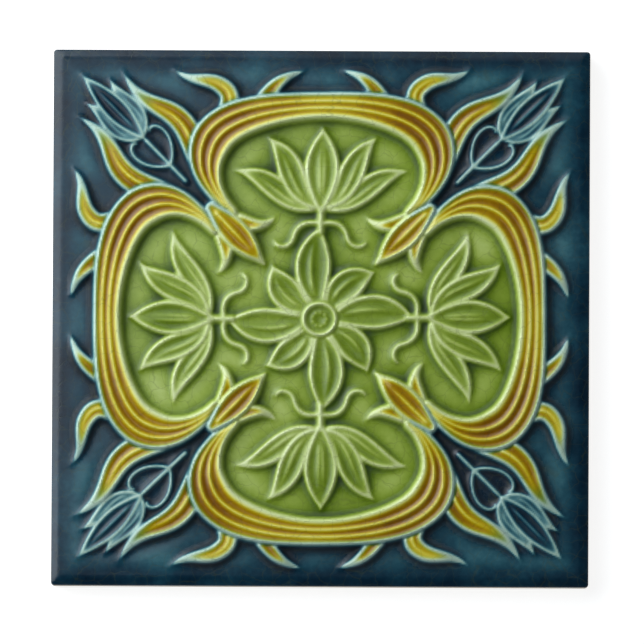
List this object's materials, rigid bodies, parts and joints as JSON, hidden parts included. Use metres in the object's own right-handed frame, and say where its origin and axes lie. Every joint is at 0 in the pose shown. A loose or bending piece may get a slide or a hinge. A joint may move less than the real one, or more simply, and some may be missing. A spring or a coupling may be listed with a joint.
{
  "type": "victorian tile",
  "caption": "Square relief-moulded wall tile with a majolica glaze: a lobed leaf band, a rosette and buds on its face, and keying grooves across its back.",
  "frame": {"origin": "centre of the tile's back, on the plane it lies on", "axes": "+Z out of the glazed face; X and Y along the edges; the keying grooves run along X"},
  "size_m": [0.1524, 0.1524, 0.0112],
  "materials": {
    "glazed_earthenware": "gloss lead glaze in teal blue, leaf green and amber over pressed earthenware; bare cream clay on the back and sides"
  },
  "bodies": {
    "root": {"tile": "glazed_earthenware"}
  },
  "joints": []
}
